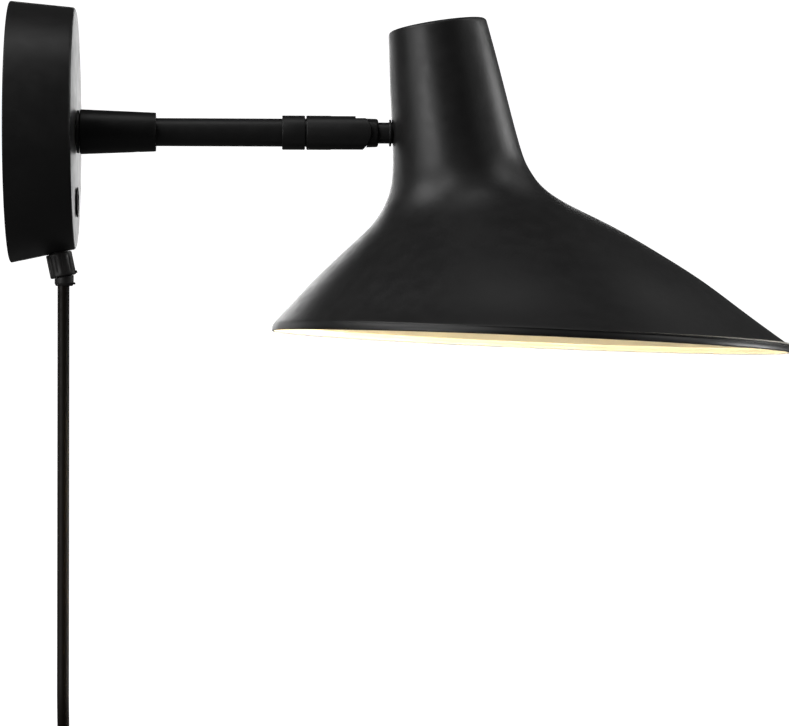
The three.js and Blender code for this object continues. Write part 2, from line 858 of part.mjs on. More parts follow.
const coilOuter = coilMeanRadius + coilHalf;
const cordDrop = [
  [0, 0, collarBottom - gap],
  [0, 0, -110],
  [0, 0, -150],
  [0, 0, -190],
  [0, 0, -230],
  [0, 0, -254],
  [0, 1.1, -264],
  [0, 4.4, -273.5],
  [0, 8.2, -280],
];

function coilRing() {
  const corner = 4;
  const profile = [];
  const quarterSteps = 2;
  for (const [sx, sr, start] of [[1, 1, 0], [-1, 1, 1], [-1, -1, 2], [1, -1, 3]]) {
    for (let i = 0; i <= quarterSteps; i += 1) {
      const angle = (start + i / quarterSteps) * (Math.PI / 2);
      profile.push([
        sx * (coilHalf - corner) + corner * Math.cos(angle),
        coilMeanRadius + sr * (coilHalf - corner) + corner * Math.sin(angle),
      ]);
    }
  }
  profile.push(profile[0]);
  return turned('x', profile, 30);
}

// A strap around the coil's bundle, drawn in the bundle's own cross-section.
function coilTie() {
  const outer = coilHalf + 2 * gap + 0.9;
  const inner = coilHalf + 2 * gap;
  const plate = block([-outer, outer], [-3, 3], [-outer, outer]);
  const window = block([-inner, inner], [-4, 4], [-inner, inner]);
  return cut(plate, window);
}

function plugBody() {
  const outlineShape = new THREE.Shape();
  outlineShape.moveTo(-17.4, 4);
  outlineShape.lineTo(-17.4, 16);
  outlineShape.quadraticCurveTo(-16.5, 27, -6.5, 33);
  outlineShape.lineTo(6.5, 33);
  outlineShape.quadraticCurveTo(16.5, 27, 17.4, 16);
  outlineShape.lineTo(17.4, 4);
  outlineShape.quadraticCurveTo(17.4, 0, 13.4, 0);
  outlineShape.lineTo(-13.4, 0);
  outlineShape.quadraticCurveTo(-17.4, 0, -17.4, 4);
  const flat = new THREE.ExtrudeGeometry(outlineShape, {
    depth: 9.7,
    bevelEnabled: true,
    bevelThickness: 2,
    bevelSize: 2,
    bevelOffset: -2,
    bevelSegments: 3,
    curveSegments: 6,
  });
  flat.translate(0, 0, -4.85);
  flat.rotateX(Math.PI / 2);
  flat.rotateZ(Math.PI / 2);
  const relief = turned('z', [
    [30, 0],
    [30, 5.4],
    [36, 5.0],
    [55, 3.5],
    [55, 0],
  ], coarse);
  const pinHoles = [-9.3, 9.3].map((y) => moved(drill('z', -1, 4, 2 + gap), 0, y, 0));
  return cut(join(sealed(flat), relief), ...pinHoles);
}

function plugPin() {
  return turned('z', [
    [-19, 0],
    [-19, 1.2],
    [-18, 2],
    [3.6, 2],
    [3.6, 0],
  ], coarse);
}

place(cordSet, 'cord_drop', strand(cordDrop, cordRadius, 8, 18), cordRubber);

const coil = place(cordSet, 'cord_coil', coilRing(), cordRubber);
coil.position.z = coilZ;

const tie = place(cordSet, 'coil_tie', coilTie(), blackPlastic);
tie.position.set(0, -8, coilZ + Math.sqrt(coilMeanRadius ** 2 - 64));
tie.rotation.x = Math.asin(8 / coilMeanRadius);

const tailY = coilMeanRadius + 2 * cordRadius;
const plugBottom = plugTop - 55;
const tail = [
  [0, tailY, coilZ - 22],
  [0, tailY, coilZ - 32],
  [0, tailY, coilZ - 41],
  [0, tailY, plugTop + gap],
];
place(cordSet, 'cord_tail', strand(tail, cordRadius, 8, 3), cordRubber);

const plug = new THREE.Group();
plug.position.set(0, tailY, plugBottom);
cordSet.add(plug);
place(plug, 'plug_body', plugBody(), blackPlastic);
for (const [name, y] of [['plug_pin_live', -9.3], ['plug_pin_neutral', 9.3]]) {
  const pin = place(plug, name, plugPin(), steel);
  pin.position.y = y;
}

// ---------- assembly ----------

const group = new THREE.Group();
group.add(wallUnit, arm, knuckle, head, cordSet);

export default group;
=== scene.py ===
import math

import bmesh
import bpy
import numpy as np
from mathutils import Matrix, Vector


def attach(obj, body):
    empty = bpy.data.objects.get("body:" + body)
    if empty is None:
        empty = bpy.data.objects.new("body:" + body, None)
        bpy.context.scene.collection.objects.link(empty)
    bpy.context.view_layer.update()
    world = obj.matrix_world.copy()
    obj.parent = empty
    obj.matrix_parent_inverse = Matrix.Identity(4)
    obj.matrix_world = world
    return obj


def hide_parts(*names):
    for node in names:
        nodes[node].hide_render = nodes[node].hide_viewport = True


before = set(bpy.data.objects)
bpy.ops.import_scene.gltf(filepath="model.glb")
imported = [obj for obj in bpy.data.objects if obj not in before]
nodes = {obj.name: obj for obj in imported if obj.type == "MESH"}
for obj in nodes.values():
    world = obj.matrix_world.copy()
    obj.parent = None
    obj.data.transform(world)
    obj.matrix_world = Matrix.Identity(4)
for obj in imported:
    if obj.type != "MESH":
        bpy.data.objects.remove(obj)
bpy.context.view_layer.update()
MM = 0.001

# Reference points of the CAD model, in millimetres.
ARM = (30.0, 0.0, 0.3)
PIVOT = (155.5, 0.0, 0.3)
HOLDER = (203.0, 0.0, 0.3)
CORD_X = 24.3


# ---------------------------------------------------------------- camera

def make_camera():
    data = bpy.data.cameras.new("camera")
    data.sensor_width = 36.0
    data.lens = 148.02
    data.clip_start = 0.05
    data.clip_end = 40.0
    camera = bpy.data.objects.new("camera", data)
    place = Vector((0.100, -1.495, -0.1262))
    target = Vector((0.1765, 0.0, -0.1059))
    camera.location = place
    camera.rotation_euler = (target - place).to_track_quat("-Z", "Y").to_euler()
    bpy.context.scene.collection.objects.link(camera)
    bpy.context.scene.camera = camera


make_camera()


# ---------------------------------------------------------------- materials

class Shader:
    """A Principled material that is put together from small procedural parts."""

    def __init__(self, name, color, roughness, metallic=0.0, **sockets):
        self.material = bpy.data.materials.new(name)
        self.material.use_nodes = True
        self.tree = self.material.node_tree
        self.nodes = self.tree.nodes
        self.bsdf = next(n for n in self.nodes if n.type == "BSDF_PRINCIPLED")
        self.bsdf.inputs["Base Color"].default_value = (*color, 1.0)
        self.bsdf.inputs["Roughness"].default_value = roughness
        self.bsdf.inputs["Metallic"].default_value = metallic
        for socket, value in sockets.items():
            self.bsdf.inputs[socket.replace("_", " ")].default_value = value
        self.coords = self.nodes.new("ShaderNodeTexCoord")
        self.bump = None

    def link(self, source, target):
        self.tree.links.new(source, target)

    def noise(self, scale, detail=3.0, stretch=(1.0, 1.0, 1.0), distortion=0.0):
        mapping = self.nodes.new("ShaderNodeMapping")
        mapping.inputs["Scale"].default_value = stretch
        self.link(self.coords.outputs["Object"], mapping.inputs["Vector"])
        node = self.nodes.new("ShaderNodeTexNoise")
        node.inputs["Scale"].default_value = scale
        node.inputs["Detail"].default_value = detail
        node.inputs["Distortion"].default_value = distortion
        self.link(mapping.outputs["Vector"], node.inputs["Vector"])
        return node.outputs["Fac"]

    def ramp(self, value, low, high, start=0.3, end=0.7):
        """A number that runs from low to high as value runs from start to end."""
        node = self.nodes.new("ShaderNodeMapRange")
        node.inputs["From Min"].default_value = start
        node.inputs["From Max"].default_value = end
        node.inputs["To Min"].default_value = low
        node.inputs["To Max"].default_value = high
        self.link(value, node.inputs["Value"])
        return node.outputs["Result"]

    def mottle(self, value, first, second):
        """Colours the surface between two colours."""
        node = self.nodes.new("ShaderNodeValToRGB")
        node.color_ramp.elements[0].position = 0.32
        node.color_ramp.elements[0].color = (*first, 1.0)
        node.color_ramp.elements[1].position = 0.68
        node.color_ramp.elements[1].color = (*second, 1.0)
        self.link(value, node.inputs["Fac"])
        self.link(node.outputs["Color"], self.bsdf.inputs["Base Color"])
        return self

    def rough(self, value, low, high):
        self.link(self.ramp(value, low, high), self.bsdf.inputs["Roughness"])
        return self

    def relief(self, value, distance, strength=1.0):
        """Adds a layer of bump on top of the ones before it; distance is in millimetres."""
        node = self.nodes.new("ShaderNodeBump")
        node.inputs["Strength"].default_value = strength
        node.inputs["Distance"].default_value = distance * MM
        self.link(value, node.inputs["Height"])
        if self.bump is not None:
            self.link(self.bump.outputs["Normal"], node.inputs["Normal"])
        self.bump = node
        self.link(node.outputs["Normal"], self.bsdf.inputs["Normal"])
        return self


def painted(name, first, second, low, high, orange_peel=0.012, **sockets):
    shader = Shader(name, first, low, **sockets)
    shader.mottle(shader.noise(38.0, 4.0), first, second)
    shader.rough(shader.noise(150.0, 4.0), low, high)
    shader.relief(shader.noise(420.0, 2.0), orange_peel)
    shader.relief(shader.noise(2600.0, 2.0), orange_peel * 0.25)
    return shader.material


def moulded(name, first, second, low, high, grain=0.02, scale=1300.0, tint=60.0, **sockets):
    shader = Shader(name, first, low, **sockets)
    shader.mottle(shader.noise(tint, 3.0), first, second)
    shader.rough(shader.noise(300.0, 3.0), low, high)
    shader.relief(shader.noise(scale, 3.0), grain)
    return shader.material


def metal(name, first, second, low, high, stretch=(1.0, 1.0, 1.0), scratch=0.006):
    shader = Shader(name, first, low, 1.0)
    shader.mottle(shader.noise(90.0, 5.0), first, second)
    shader.rough(shader.noise(520.0, 4.0, stretch), low, high)
    shader.relief(shader.noise(1500.0, 4.0, stretch), scratch)
    return shader.material


black_paint = painted("black_satin_paint", (0.0105, 0.0104, 0.0106), (0.0135, 0.0132, 0.0132), 0.36, 0.44)
cream_paint = painted("cream_inner_paint", (0.83, 0.79, 0.69), (0.87, 0.84, 0.75), 0.50, 0.62)
black_plastic = moulded("black_moulded_plastic", (0.012, 0.012, 0.012), (0.017, 0.016, 0.016), 0.42, 0.55)
soft_plastic = moulded("black_soft_plastic", (0.012, 0.011, 0.0105), (0.018, 0.016, 0.015), 0.48, 0.62, 0.015, 900.0)
cord_skin = moulded(
    "cord_sheath", (0.0078, 0.0056, 0.0040), (0.0098, 0.0058, 0.0036), 0.46, 0.58, 0.010, 500.0,
    tint=9.0, Specular_IOR_Level=0.2,
)
white_plastic = moulded("white_plastic", (0.80, 0.79, 0.76), (0.86, 0.85, 0.82), 0.35, 0.45, 0.008)
blue_wire = moulded("blue_wire_sheath", (0.02, 0.09, 0.33), (0.03, 0.13, 0.42), 0.35, 0.45, 0.008)
brown_wire = moulded("brown_wire_sheath", (0.11, 0.035, 0.014), (0.16, 0.055, 0.022), 0.35, 0.45, 0.008)
unglazed = moulded("unglazed_ceramic", (0.74, 0.71, 0.64), (0.82, 0.79, 0.72), 0.55, 0.75, 0.03, 800.0)
steel = metal("zinc_plated_steel", (0.30, 0.31, 0.32), (0.38, 0.39, 0.40), 0.30, 0.44)
turned_steel = metal("turned_steel", (0.55, 0.56, 0.57), (0.64, 0.64, 0.65), 0.18, 0.32, (0.2, 3.0, 3.0))
brass = metal("bare_brass", (0.60, 0.40, 0.13), (0.70, 0.49, 0.19), 0.22, 0.38)


def opal_glass():
    shader = Shader("opal_glass", (1.0, 0.93, 0.80), 0.22, Emission_Strength=66.0)
    shader.bsdf.inputs["Emission Color"].default_value = (1.0, 0.82, 0.51, 1.0)
    shader.rough(shader.noise(120.0, 2.0), 0.18, 0.28)
    shader.relief(shader.noise(700.0, 2.0), 0.006)
    return shader.material


opal = opal_glass()


# ---------------------------------------------------------------- mesh helpers

def mesh_object(name, vertices, faces, material, crease=38.0):
    """A smooth-shaded object with sharp edges where two faces meet at more than crease."""
    mesh = bpy.data.meshes.new(name)
    mesh.from_pydata([Vector(v) * MM for v in vertices], [], faces)
    build = bmesh.new()
    build.from_mesh(mesh)
    bmesh.ops.remove_doubles(build, verts=build.verts, dist=0.0005 * MM)
    bmesh.ops.recalc_face_normals(build, faces=build.faces)
    build.to_mesh(mesh)
    build.free()
    made = bpy.data.objects.new(name, mesh)
    bpy.context.scene.collection.objects.link(made)
    mesh.materials.append(material)
    smooth(made, crease)
    return made


def smooth(made, crease=38.0):
    made.data.shade_smooth()
    made.data.set_sharp_from_angle(angle=math.radians(crease))


def settle(made, body, slot, *replaced):
    """Fixes a finished piece to its body, and hides the CAD nodes it stands for."""
    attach(made, body)
    if replaced:
        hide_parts(*replaced)
    return made


def filleted(corners, steps=5, closed=True):
    """Rounds the corners of a profile; a corner is (along, across) or (along, across, radius)."""
    out = []
    count = len(corners)
    for i, corner in enumerate(corners):
        here = Vector(corner[:2])
        radius = corner[2] if len(corner) > 2 else 0.0
        ends = not closed and i in (0, count - 1)
        if radius <= 0 or ends:
            out.append(here)
            continue
        before = Vector(corners[i - 1][:2]) - here
        after = Vector(corners[(i + 1) % count][:2]) - here
        before.normalize()
        after.normalize()
        half = before.angle(after) / 2
        reach = radius / math.tan(half)
        centre = here + (before + after).normalized() * (radius / math.sin(half))
        first = here + before * reach - centre
        last = here + after * reach - centre
        sweep = first.angle(last)
        for k in range(steps + 1):
            share = k / steps
            a = math.sin((1 - share) * sweep) / math.sin(sweep)
            b = math.sin(share * sweep) / math.sin(sweep)
            out.append(centre + first * a + last * b)
    return out


def on_axis(axis, along, across, angle):
    """The point of a turned part, with its axis along X, Y or Z."""
    a, b = across * math.cos(angle), across * math.sin(angle)
    return {"x": (along, a, b), "y": (b, along, a), "z": (a, b, along)}[axis]


def turned_mesh(profile, axis, at, sides):
    """Vertices and faces of a profile of (along, across) points, turned about an axis."""
    vertices, rings = [], []
    for along, across in profile:
        if across < 1e-6:
            vertices.append(Vector(on_axis(axis, along, 0.0, 0.0)) + Vector(at))
            rings.append([len(vertices) - 1] * sides)
        else:
            ring = []
            for i in range(sides):
                angle = 2 * math.pi * i / sides
                vertices.append(Vector(on_axis(axis, along, across, angle)) + Vector(at))
                ring.append(len(vertices) - 1)
            rings.append(ring)
    return vertices, loft_faces(rings, rings[0][0] == rings[0][1])


def loft_faces(rings, open_ended):
    """Faces between rings of equal count; a pole is a ring that repeats one vertex."""
    faces = []
    pairs = list(zip(rings, rings[1:]))
    if not open_ended:
        pairs.append((rings[-1], rings[0]))
    for low, high in pairs:
        count = len(low)
        for i in range(count):
            j = (i + 1) % count
            face = [low[i], low[j], high[j], high[i]]
            face = [v for k, v in enumerate(face) if v not in face[:k]]
            if len(face) > 2:
                faces.append(face)
    return faces


def turned(name, corners, axis, at, material, sides=72, steps=5, crease=38.0):
    """A turned solid. The profile starts and ends on the axis, or closes on itself."""
    solid = corners[0][1] < 1e-6
    profile = filleted(corners, steps, closed=not solid)
    vertices, faces = turned_mesh(profile, axis, at, sides)
    return mesh_object(name, vertices, faces, material, crease)


def prism(name, outline, axis, low, high, at, material, crease=38.0):
    """An outline of two-dimensional points, extruded along an axis from low to high."""
    order = {"x": lambda a, b, h: (h, a, b), "y": lambda a, b, h: (a, h, b), "z": lambda a, b, h: (a, b, h)}
    put = order[axis]
    count = len(outline)
    vertices = [Vector(put(a, b, h)) + Vector(at) for h in (low, high) for a, b in outline]
    faces = [list(range(count)), list(range(count, 2 * count))]
    for i in range(count):
        j = (i + 1) % count
        faces.append([i, j, count + j, count + i])
    return mesh_object(name, vertices, faces, material, crease)


def box_piece(name, x, y, z, at, material):
    outline = [(x[0], y[0]), (x[1], y[0]), (x[1], y[1]), (x[0], y[1])]
    return prism(name, outline, "z", z[0], z[1], at, material)


def apply_modifiers(made):
    graph = bpy.context.evaluated_depsgraph_get()
    result = bpy.data.meshes.new_from_object(made.evaluated_get(graph))
    made.modifiers.clear()
    made.data = result


def combine(made, others, operation, crease=38.0):
    """Cuts, joins or intersects a piece with others, which are used up."""
    for other in others:
        modifier = made.modifiers.new("combine", "BOOLEAN")
        modifier.operation = operation
        modifier.solver = "EXACT"
        modifier.object = other
    bpy.context.view_layer.update()
    apply_modifiers(made)
    for other in others:
        bpy.data.objects.remove(other)
    smooth(made, crease)
    return made


def cut(made, *others):
    return combine(made, others, "DIFFERENCE")


def join(made, *others):
    return combine(made, others, "UNION")


def bevelled(made, width, segments=3, angle=35.0):
    modifier = made.modifiers.new("bevel", "BEVEL")
    modifier.width = width * MM
    modifier.segments = segments
    modifier.limit_method = "ANGLE"
    modifier.angle_limit = math.radians(angle)
    modifier.use_clamp_overlap = True
    modifier.harden_normals = False
    apply_modifiers(made)
    smooth(made, 50.0)
    return made


def rod(axis, low, high, radius, at, sides=48):
    profile = [(low, 0.0), (low, radius), (high, radius), (high, 0.0)]
    return turned("tool", profile, axis, at, black_paint, sides)


# ---------------------------------------------------------------- cord

CORD_RADIUS = 2.75
CORD_STEP = 2 * CORD_RADIUS
COIL_RADIUS = 30.5
COIL_Z = -324.0
START_Z = -66.9
BEND_Z = -254.0
PLUG_TOP = -370.0
TIE_CLEARANCE = 0.6

# The turns of the coil in its cross-section, as steps along X and outwards, in winding order.
WINDING = [(-1, 1), (0, 1), (0, 0), (-1, 0), (-1, -1), (0, -1), (1, -1), (1, 0), (1, 1)]


def ease(share):
    share = min(1.0, max(0.0, share))
    return share * share * (3 - 2 * share)


def cord_route():
    """The cord's centreline: a straight drop, a bend into the coil, eight turns and a tail."""
    outer = COIL_RADIUS + CORD_STEP
    route = [(CORD_X, 0.0, START_Z + (BEND_Z - START_Z) * i / 24) for i in range(25)]
    entry = math.radians(45)
    reach = outer * math.cos(entry)
    drop = BEND_Z - (COIL_Z + outer * math.sin(entry))
    bend = (drop - reach) / (math.sqrt(2) - 1)
    straight = (reach - bend * (1 - math.cos(entry))) / math.sin(entry)
    run = bend * entry + straight
    steps = 18
    for i in range(1, steps):
        along = run * i / steps
        turn = min(entry, along / bend)
        past = max(0.0, along - bend * entry) * math.sin(entry)
        shift = WINDING[0][0] * CORD_STEP * ease((along / run - 0.35) / 0.65)
        route.append((
            CORD_X + shift,
            bend * (1 - math.cos(turn)) + past,
            BEND_Z - bend * math.sin(turn) - past,
        ))
    per_turn = 60
    window = 0.28
    turns = len(WINDING) - 1
    total = int(per_turn * (turns + 0.125))
    for i in range(total + 1):
        lap = i / per_turn
        cell = min(int(lap), turns)
        share = ease((lap - cell - (1 - window)) / window)
        now, later = WINDING[cell], WINDING[min(cell + 1, turns)]
        x = (now[0] + (later[0] - now[0]) * share) * CORD_STEP
        r = COIL_RADIUS + (now[1] + (later[1] - now[1]) * share) * CORD_STEP
        angle = entry - 2 * math.pi * lap
        route.append((CORD_X + x, r * math.cos(angle), COIL_Z + r * math.sin(angle)))
    tail = COIL_Z - PLUG_TOP - 0.3
    for i in range(1, 9):
        share = i / 8
        shift = WINDING[-1][0] * CORD_STEP * (1 - ease(share * 1.2))
        route.append((CORD_X + shift, outer, COIL_Z - tail * share))
    return route


def make_cord():
    curve = bpy.data.curves.new("cord", "CURVE")
    curve.dimensions = "3D"
    curve.bevel_depth = CORD_RADIUS * MM
    curve.bevel_resolution = 6
    curve.use_fill_caps = True
    route = cord_route()
    spline = curve.splines.new("POLY")
    spline.points.add(len(route) - 1)
    for point, place in zip(spline.points, route):
        point.co = (*(Vector(place) * MM), 1.0)
    spline.use_smooth = True
    curve.materials.append(cord_skin)
    made = bpy.data.objects.new("cord", curve)
    bpy.context.scene.collection.objects.link(made)
    return settle(made, "wall_unit", "cord_rubber", "cord_drop", "cord_coil", "cord_tail")


cord = make_cord()


# ---------------------------------------------------------------- shade

# Side outlines in the middle plane, as (along, up) from the tilt pin, from the neck's top to the rim.
WALL_SIDE = [
    (18.2, 46.8), (18.6, 32.3), (19.1, 17.7), (19.8, 3.3),
    (20.2, -9.5), (20.0, -19.6), (18.5, -28.1), (15.0, -36.1),
    (9.2, -43.9), (1.3, -51.4), (-6.9, -59.1), (-15.2, -67.1),
    (-23.0, -75.3), (-30.4, -83.2), (-33.9, -86.9), (-34.9, -88.2),
    (-35.5, -89.7), (-35.7, -91.4),
]
ROOM_SIDE = [
    (63.2, 53.6), (67.2, 39.0), (71.2, 23.7), (75.3, 7.7),
    (78.9, -5.5), (81.6, -13.3), (84.5, -18.6), (89.6, -25.0),
    (99.6, -32.1), (113.6, -39.2), (128.7, -47.2), (145.2, -57.1),
    (164.1, -69.4), (184.0, -84.4), (201.5, -97.3), (202.7, -98.6),
    (203.4, -100.2), (203.6, -101.9),
]
SHADE_WALL = 1.2
SHADE_SIDES = 144
TOP_FILLET = 1.8


class Outline:
    """A curve with continuous curvature; point number n lies at the place n along it."""

    def __init__(self, points, inwards):
        self.points = np.array(points, float)
        self.inwards = inwards
        count = len(points)
        self.last = count - 1
        matrix = np.eye(count)
        right = np.zeros((count, 2))
        for i in range(1, self.last):
            matrix[i, i - 1:i + 2] = (1 / 6, 2 / 3, 1 / 6)
            right[i] = self.points[i + 1] - 2 * self.points[i] + self.points[i - 1]
        self.second = np.linalg.solve(matrix, right)

    def at(self, place):
        i = int(min(max(math.floor(place), 0), self.last - 1))
        b = place - i
        a = 1 - b
        bend = (a ** 3 - a) * self.second[i] + (b ** 3 - b) * self.second[i + 1]
        return a * self.points[i] + b * self.points[i + 1] + bend / 6

    def inset(self, place, depth):
        """The point at a place on the outline, moved inwards by depth."""
        ahead = self.at(place + 0.01) - self.at(place - 0.01)
        ahead /= np.linalg.norm(ahead)
        return self.at(place) + np.array([-ahead[1], ahead[0]]) * depth * self.inwards

    def place_before_end(self, length):
        """The place that lies a short length before the end of the curve."""
        speed = np.linalg.norm(self.at(self.last) - self.at(self.last - 0.02)) / 0.02
        return self.last - length / speed

    def place_after_start(self, length):
        speed = np.linalg.norm(self.at(0.02) - self.at(0.0)) / 0.02
        return length / speed


wall_outline = Outline(WALL_SIDE, 1)
room_outline = Outline(ROOM_SIDE, -1)


def shade_ring(wall_place, room_place, depth):
    """The circle that stands on the two sides' points as its diameter, in row millimetres."""
    wall = wall_outline.inset(wall_place, depth)
    room = room_outline.inset(room_place, depth)
    centre, across = (wall + room) / 2, (room - wall) / 2
    radius = float(np.linalg.norm(across))
    ring = []
    for i in range(SHADE_SIDES):
        angle = 2 * math.pi * i / SHADE_SIDES
        ring.append((
            PIVOT[0] + centre[0] + across[0] * math.cos(angle),
            radius * math.sin(angle),
            PIVOT[2] + centre[1] + across[1] * math.cos(angle),
        ))
    return ring


def ring_from_top(drop, depth):
    return shade_ring(wall_outline.place_after_start(drop), room_outline.place_after_start(drop), depth)


def ring_from_rim(rise, depth):
    return shade_ring(wall_outline.place_before_end(rise), room_outline.place_before_end(rise), depth)


def lofted(name, rings, material, crease=38.0):
    """A closed skin over rings in order, with a pole in the middle of the first and last."""
    vertices, indices = [], []
    for ring in rings:
        indices.append(list(range(len(vertices), len(vertices) + len(ring))))
        vertices.extend(ring)
    for end in (0, -1):
        centre = np.mean(np.array(rings[end]), axis=0)
        vertices.append(tuple(centre))
        pole = [len(vertices) - 1] * len(rings[0])
        indices.insert(0 if end == 0 else len(indices), pole)
    return mesh_object(name, vertices, loft_faces(indices, True), material, crease)


def shell_rings(depth, steps):
    """Rings of a surface that lies depth below the shade's outside, from the cap to near the rim."""
    fillet = TOP_FILLET - depth
    edge = np.array(ring_from_top(depth, TOP_FILLET))
    centre = edge.mean(axis=0)
    rings = [[tuple(p) for p in centre + (edge - centre) * share] for share in (0.3, 0.6, 0.85)]
    for k in range(7):
        angle = math.radians(15 * k)
        rings.append(ring_from_top(
            depth + fillet * (1 - math.cos(angle)), depth + fillet * (1 - math.sin(angle))))
    rise = SHADE_WALL / 2 + 0.2
    first = [outline.place_after_start(TOP_FILLET) for outline in (wall_outline, room_outline)]
    last = [outline.place_before_end(rise) for outline in (wall_outline, room_outline)]
    for k in range(1, steps + 1):
        wall, room = (a + (b - a) * k / steps for a, b in zip(first, last))
        rings.append(shade_ring(wall, room, depth))
    return rings


def rim_rings(start, end, steps):
    """Rings round the rim's edge, from start to end degrees, where 0 is the outside and 180 the inside."""
    half = SHADE_WALL / 2
    rings = []
    for k in range(steps + 1):
        turn = math.radians(start + (end - start) * k / steps)
        rings.append(ring_from_rim(half - half * math.sin(turn), half - half * math.cos(turn)))
    return rings


def make_shade():
    hidden = 40
    outer = shell_rings(0.0, 98) + rim_rings(0, 70, 5) + shell_rings(0.58, hidden)[::-1]
    shade = lofted("shade_outside", outer, black_paint)
    cut(shade, rod("x", 10, 32, 5.17, PIVOT, 64))
    settle(shade, "head", "black_paint", "shade_shell")
    inner = shell_rings(0.62, hidden) + rim_rings(76, 180, 7) + shell_rings(SHADE_WALL, 84)[::-1]
    lining = lofted("shade_lining", inner, cream_paint)
    cut(lining, rod("x", 10, 32, 5.17, PIVOT, 64))
    settle(lining, "head", "cream_paint")


make_shade()


# ---------------------------------------------------------------- wall plate

CANOPY_DEPTH = 30.0
CANOPY_RISE = 1.7


def make_canopy():
    corners = [
        (30.0, 0.0), (30.0, 55.4, 1.6), (0.0, 60.0, 0.5),
        (0.0, 58.5, 0.2), (28.5, 53.9, 1.2), (28.5, 0.0),
    ]
    profile = filleted(corners, 6, closed=False)
    vertices, faces = turned_mesh(profile, "x", (0, 0, 0), 160)
    for vertex in vertices:
        vertex.z += CANOPY_RISE * vertex.x / CANOPY_DEPTH
    canopy = mesh_object("canopy", vertices, faces, black_paint)
    tools = [
        rod("x", 20, 40, 5.17, (0, 0, 0.3)),
        rod("x", 20, 40, 6.1, (0, 0, -32.1)),
        rod("z", -80, 80, 2.3, (7, 0, 0), 32),
        tilted(rod("z", -6, 6, 4.3, (0, 0, 0), 32)),
    ]
    cut(canopy, *tools)
    settle(canopy, "wall_unit", "black_paint", "canopy_cover")


# The cord grip stands square to the cover's leaning underside.
GRIP_LEAN = math.atan((60.0 - 55.4 + CANOPY_RISE) / CANOPY_DEPTH)
GRIP_X = 22.0
GRIP_Z = CANOPY_RISE * GRIP_X / CANOPY_DEPTH - (60.0 - 4.6 * GRIP_X / CANOPY_DEPTH)


def tilted(made):
    """Moves a piece made along +Z at the origin to the cord grip's place, pointing down."""
    turn = Matrix.Rotation(math.pi - GRIP_LEAN, 4, "Y")
    made.data.transform(Matrix.Translation(Vector((GRIP_X, 0, GRIP_Z)) * MM) @ turn)
    return made


def make_cover_screw(name, side):
    surface = CANOPY_RISE * 7 / CANOPY_DEPTH + side * (60.0 - 4.6 * 7 / CANOPY_DEPTH)
    outer = surface - side * 0.6
    corners = [(0, 0), (0, 2.0, 0.25), (-9.0, 2.0, 0.8), (-9.0, 0)]
    corners = [(outer + side * c[0], *c[1:]) for c in corners]
    screw = turned(name, corners, "z", (7, 0, 0), steel, 32)
    slot_ends = sorted((outer - side * 0.9, outer + side))
    cut(screw, box_piece("tool", (-3, 3), (-0.35, 0.35), slot_ends, (7, 0, 0), steel))
    settle(screw, "wall_unit", "plain_steel", f"cover_screw_{name.rsplit('_', 1)[1]}")


make_canopy()
make_cover_screw("cover_grub_upper", 1)
make_cover_screw("cover_grub_lower", -1)


# ---------------------------------------------------------------- switch

def make_switch():
    at = (30.3, 0, -32.1)
    bezel = turned("switch_bezel", [
        (-15, 0), (-15, 5.8, 0.4), (0, 5.8), (0, 6.9, 0.1), (0.8, 6.9, 0.5), (0.8, 5.1, 0.25),
        (-3.6, 5.1), (-3.6, 0),
    ], "x", at, black_plastic, 72)
    settle(bezel, "wall_unit", "black_plastic", "switch_housing")
    tilt = math.radians(7)
    button = turned("rocker", [(-1.5, 0), (-1.5, 4.6, 0.3), (3.0, 4.6), (3.0, 0)], "x", (0, 0, 0), soft_plastic, 64)
    face = [(-1.1, -3.0), (-1.1, 3.0), (0.6, 4.7)]
    steps = 16
    for i in range(steps + 1):
        across = 4.7 - 9.4 * i / steps
        valley = 1.45 + 0.62 * (abs(across) / 4.35) ** 1.6
        face.append((valley, across))
    face.append((0.6, -4.7))
    bar = prism("bar", face, "y", -6, 6, (0, 0, 0), soft_plastic)
    combine(button, [bar], "INTERSECT", 30.0)
    button.data.transform(Matrix.Translation(Vector((28.6, 0, -32.1)) * MM) @ Matrix.Rotation(-tilt, 4, "Y"))
    bevelled(button, 0.16, 2, 50.0)
    settle(button, "rocker", "black_plastic", "switch_rocker")


make_switch()


# ---------------------------------------------------------------- cord grip

